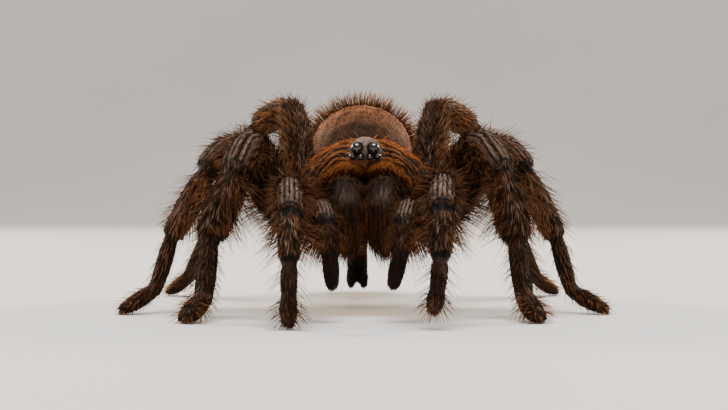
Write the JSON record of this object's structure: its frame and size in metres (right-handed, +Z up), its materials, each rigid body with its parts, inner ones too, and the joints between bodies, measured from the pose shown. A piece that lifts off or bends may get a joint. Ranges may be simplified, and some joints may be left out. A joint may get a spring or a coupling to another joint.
{
  "type": "tarantula",
  "caption": "Still, life-size model of a large brown hairy tarantula standing tall on bent legs, with its head low in front, long hanging palps and a raised round abdomen behind.",
  "frame": {"origin": "on the floor, under the middle of the model's box", "axes": "+Z up; the head faces -Y and the abdomen points to +Y; the spider's own left side is at +X"},
  "size_m": [0.1138, 0.1266, 0.0534],
  "materials": {
    "leg_coat": "dark brown lying hair with long orange-brown bristles",
    "carapace_coat": "golden-orange combed hair",
    "abdomen_coat": "short pinkish tan velvet with long brown bristles",
    "chelicera_coat": "dark brown hair with grey bald patches",
    "eye": "glossy black",
    "fang": "shiny brown-black horn"
  },
  "bodies": {
    "root": {"palp_left_femur": "leg_coat", "palp_left_patella": "leg_coat", "palp_left_tibia": "leg_coat", "palp_left_tarsus": "leg_coat", "palp_right_femur": "leg_coat", "palp_right_patella": "leg_coat", "palp_right_tibia": "leg_coat", "palp_right_tarsus": "leg_coat", "leg1_left_femur": "leg_coat", "leg1_left_patella": "leg_coat", "leg1_left_tibia": "leg_coat", "leg1_left_foot": "leg_coat", "leg1_right_femur": "leg_coat", "leg1_right_patella": "leg_coat", "leg1_right_tibia": "leg_coat", "leg1_right_foot": "leg_coat", "leg2_left_femur": "leg_coat", "leg2_left_patella": "leg_coat", "leg2_left_tibia": "leg_coat", "leg2_left_foot": "leg_coat", "leg2_right_femur": "leg_coat", "leg2_right_patella": "leg_coat", "leg2_right_tibia": "leg_coat", "leg2_right_foot": "leg_coat", "leg3_left_femur": "leg_coat", "leg3_left_patella": "leg_coat", "leg3_left_tibia": "leg_coat", "leg3_left_foot": "leg_coat", "leg3_right_femur": "leg_coat", "leg3_right_patella": "leg_coat", "leg3_right_tibia": "leg_coat", "leg3_right_foot": "leg_coat", "leg4_left_femur": "leg_coat", "leg4_left_patella": "leg_coat", "leg4_left_tibia": "leg_coat", "leg4_left_foot": "leg_coat", "leg4_right_femur": "leg_coat", "leg4_right_patella": "leg_coat", "leg4_right_tibia": "leg_coat", "leg4_right_foot": "leg_coat", "eye_front_left": "eye", "eye_front_right": "eye", "eye_lower_left": "eye", "eye_lower_right": "eye", "eye_side_left": "eye", "eye_side_right": "eye", "eye_rear_left": "eye", "eye_rear_right": "eye", "carapace": "carapace_coat", "abdomen": "abdomen_coat", "underbody": "leg_coat", "pedicel": "leg_coat", "chelicera_left": "chelicera_coat", "fang_left": "fang", "spinneret_left": "leg_coat", "chelicera_right": "chelicera_coat", "fang_right": "fang", "spinneret_right": "leg_coat"}
  },
  "joints": []
}
